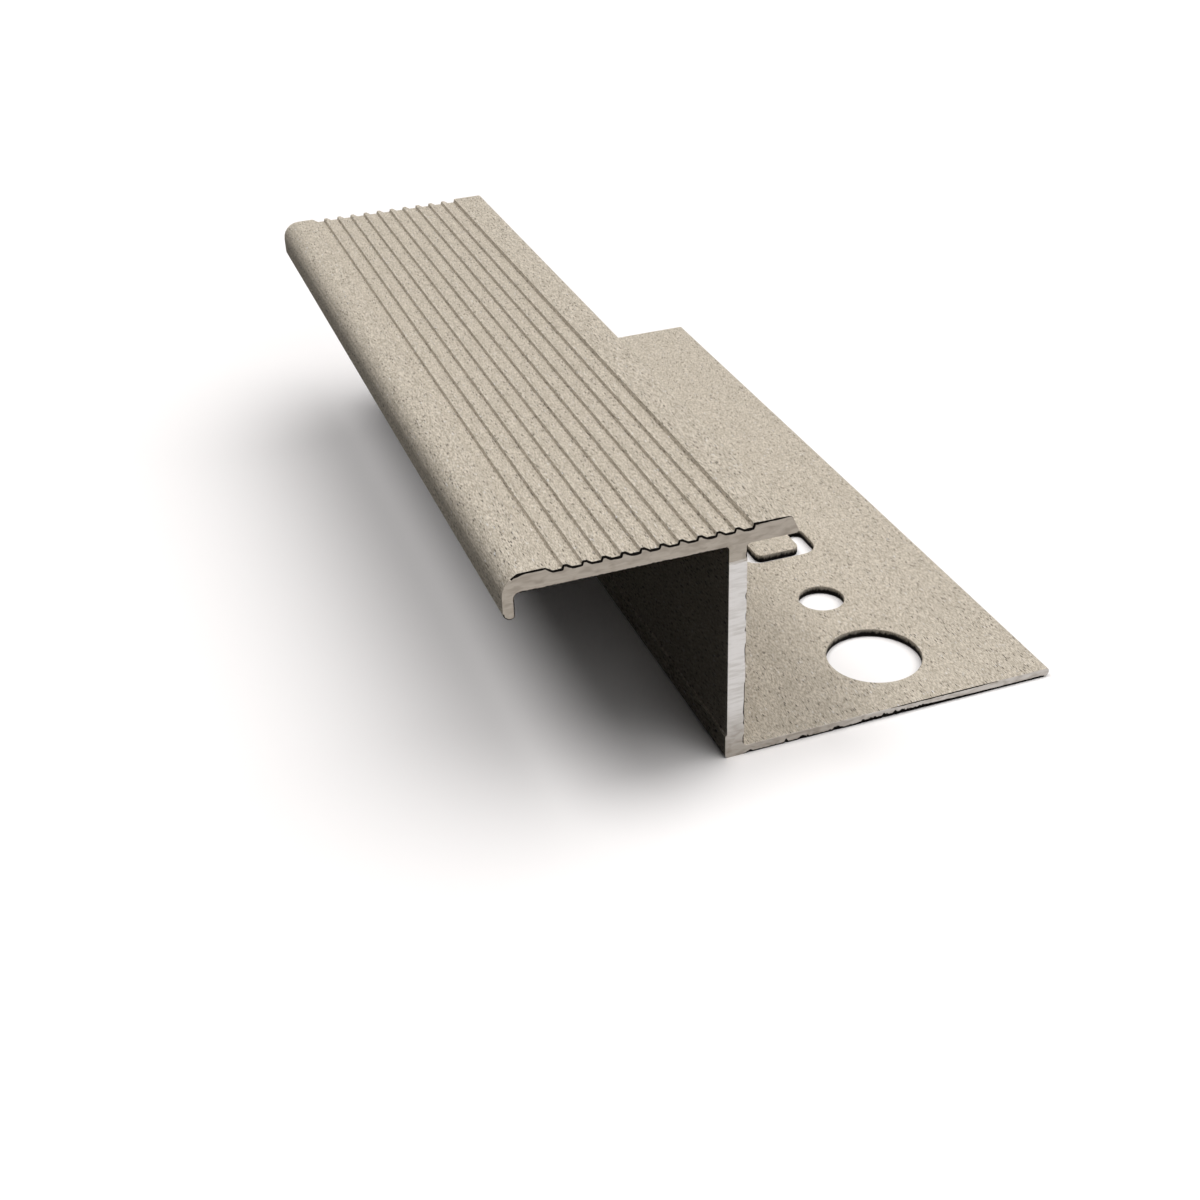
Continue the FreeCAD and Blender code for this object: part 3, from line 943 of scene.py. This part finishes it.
def torn_coat_and_shade_edge(colours):
    """The powder coat's broken edge, dry and crumbly, in a near black that is partly the torn coat
    and partly painted shade along the cut's edges. The eye sees a thin dark line.
    """
    material, tree = new_material("torn_coat_and_shade_edge")
    place = add_node(tree, "ShaderNodeTexCoord").outputs["Object"]
    crumbs = add_node(
        tree, "ShaderNodeTexNoise", {"Vector": place, "Scale": 1 / TORN_CRUMB}
    ).outputs[0]
    crumb_share = add_node(
        tree, "ShaderNodeMapRange",
        {"Value": crumbs, "From Min": 0.55, "From Max": 0.8, "To Max": 0.25},
    ).outputs[0]
    edge = add_node(
        tree, "ShaderNodeMix",
        {FACTOR: crumb_share, COLOUR_A: rgba(colours.torn_coat_and_shade),
         COLOUR_B: rgba(colours.grain_shadow_and_crumb)},
        data_type="RGBA",
    ).outputs[MIXED_COLOUR]
    shader = add_node(
        tree, "ShaderNodeBsdfPrincipled",
        {"Base Color": edge, "Roughness": 0.95, "Specular IOR Level": 0.05},
    )
    add_node(tree, "ShaderNodeOutputMaterial", {"Surface": shader.outputs[0]})
    return material


class NOSING_OT_coated_profile(bpy.types.Operator):
    """Build the bar: extruded, punched, coated and sawn to length"""
    bl_idname = "nosing.coated_profile"
    bl_label = "Coated Profile"

    def execute(self, context):
        sizes, colours = context.scene.nosing_sizes, context.scene.nosing_finish
        bar = make_bar(sizes, {
            "Coat": stone_effect_powder_coat(colours),
            "Punched Wall": punched_wall(colours),
            "Sawn Metal": sawn_aluminium(colours),
        })
        bar.data.materials.append(torn_coat_and_shade_edge(colours))
        tear_ends(sizes, bar.data)
        smooth_by_angle(bar)
        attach(bar, BODY)
        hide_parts(NODE)
        return {"FINISHED"}


# half the floor's side, in metres, and how far it lies under the bar
FLOOR_HALF = 2.0
FLOOR_GAP = 0.02 * MM
# the share of the floor's colour with which it lights the bar
FLOOR_BOUNCE = 0.015
# the strength of the world's light on the bar, where 1 is white
AMBIENT = 0.014

# the camera as fitted to the bar's edges: azimuth from +Y towards +X, and lens in mm
CAMERA_PLACE = Vector((-66.0, -182.6, 108.4)) * MM
CAMERA_AZIMUTH = math.radians(18.98)
CAMERA_DOWN = math.radians(32.10)
CAMERA_ROLL = math.radians(-2.13)
CAMERA_LENS = 49.18
CAMERA_SENSOR = 36.0
CAMERA_CLIP_START = 0.01


def seen_directly(tree):
    """1 for a ray from the camera, or for one that a mirror or a lens would show it."""
    path = add_node(tree, "ShaderNodeLightPath").outputs
    seen = path["Is Camera Ray"]
    for kind in ("Is Glossy Ray", "Is Transmission Ray"):
        seen = add_node(
            tree, "ShaderNodeMath", {0: seen, 1: path[kind]}, operation="MAXIMUM"
        ).outputs[0]
    return seen


def studio_floor(colours):
    """A matt white floor. It looks white, and bounces little light onto the bar."""
    material, tree = new_material("studio_floor")
    bounce = [channel * FLOOR_BOUNCE for channel in colours.floor]
    shade = add_node(
        tree, "ShaderNodeMix",
        {FACTOR: seen_directly(tree), COLOUR_A: rgba(bounce), COLOUR_B: rgba(colours.floor)},
        data_type="RGBA",
    )
    shader = add_node(tree, "ShaderNodeBsdfDiffuse", {"Color": shade.outputs[MIXED_COLOUR]})
    add_node(tree, "ShaderNodeOutputMaterial", {"Surface": shader.outputs[0]})
    return material


def add_sun(name, azimuth, elevation, spread, strength):
    """A far, soft lamp. It shines from +Y at azimuth 0, and from +X at 90."""
    lamp = bpy.data.lights.new(name, "SUN")
    lamp.angle = math.radians(spread)
    lamp.energy = strength
    sun = new_object(name, lamp)
    turn, rise = math.radians(azimuth), math.radians(elevation)
    towards = Vector((
        math.sin(turn) * math.cos(rise), math.cos(turn) * math.cos(rise), math.sin(rise)
    ))
    sun.rotation_euler = towards.to_track_quat("Z", "Y").to_euler()


def add_camera():
    """The camera that the scene is seen through."""
    lens = bpy.data.cameras.new("Camera")
    lens.lens, lens.sensor_width = CAMERA_LENS, CAMERA_SENSOR
    lens.clip_start = CAMERA_CLIP_START
    camera = new_object("Camera", lens)
    look = Vector((
        math.sin(CAMERA_AZIMUTH) * math.cos(CAMERA_DOWN),
        math.cos(CAMERA_AZIMUTH) * math.cos(CAMERA_DOWN),
        -math.sin(CAMERA_DOWN),
    ))
    turn = look.to_track_quat("-Z", "Y") @ Quaternion((0, 0, 1), CAMERA_ROLL)
    camera.location = CAMERA_PLACE
    camera.rotation_euler = turn.to_euler()
    bpy.context.scene.camera = camera


def set_world():
    """White wherever the camera sees it, and a faint fill light on the bar."""
    world = bpy.data.worlds.new("Studio")
    world.use_nodes = True
    tree = world.node_tree
    tree.nodes.clear()
    strength = add_node(
        tree, "ShaderNodeMapRange", {"Value": seen_directly(tree), "To Min": AMBIENT}
    ).outputs[0]
    back = add_node(
        tree, "ShaderNodeBackground", {"Color": rgba((1, 1, 1)), "Strength": strength}
    )
    add_node(tree, "ShaderNodeOutputWorld", {"Surface": back.outputs[0]})
    bpy.context.scene.world = world


class NOSING_OT_stage(bpy.types.Operator):
    """Set up the pale floor, the soft lamps and the camera"""
    bl_idname = "nosing.stage"
    bl_label = "Stage"

    def execute(self, context):
        corners = ((-1, -1), (1, -1), (1, 1), (-1, 1))
        level = LOW.z - FLOOR_GAP
        floor = flat_face(
            "studio_floor", [(x * FLOOR_HALF, y * FLOOR_HALF, level) for x, y in corners]
        )
        floor.data.materials.append(studio_floor(context.scene.nosing_finish))
        add_sun("Right Softbox", azimuth=92, elevation=66, spread=60, strength=2.03)
        add_sun("Left Softbox", azimuth=291, elevation=67, spread=24, strength=1.3)
        add_sun("Front Softbox", azimuth=160, elevation=28, spread=56, strength=0.7)
        set_world()
        add_camera()
        context.scene.view_settings.view_transform = "Standard"
        return {"FINISHED"}


class NOSING_PT_panel(bpy.types.Panel):
    """Builds the stair nosing and its stage"""
    bl_idname = "NOSING_PT_panel"
    bl_label = "Stair Nosing"
    bl_space_type = "VIEW_3D"
    bl_region_type = "UI"
    bl_category = "Nosing"

    def draw(self, context):
        for operator in (NOSING_OT_coated_profile, NOSING_OT_stage):
            self.layout.operator(operator.bl_idname)
        for group in (context.scene.nosing_sizes, context.scene.nosing_finish):
            column = self.layout.column()
            for name in group.__annotations__:
                column.prop(group, name)


CLASSES = (
    NosingSizes,
    NosingFinish,
    NOSING_OT_coated_profile,
    NOSING_OT_stage,
    NOSING_PT_panel,
)


def register():
    for item in CLASSES:
        bpy.utils.register_class(item)
    bpy.types.Scene.nosing_sizes = PointerProperty(type=NosingSizes)
    bpy.types.Scene.nosing_finish = PointerProperty(type=NosingFinish)


def unregister():
    del bpy.types.Scene.nosing_finish
    del bpy.types.Scene.nosing_sizes
    for item in reversed(CLASSES):
        bpy.utils.unregister_class(item)


def main():
    register()
    bpy.ops.nosing.coated_profile()
    bpy.ops.nosing.stage()


if __name__ == "__main__":
    main()
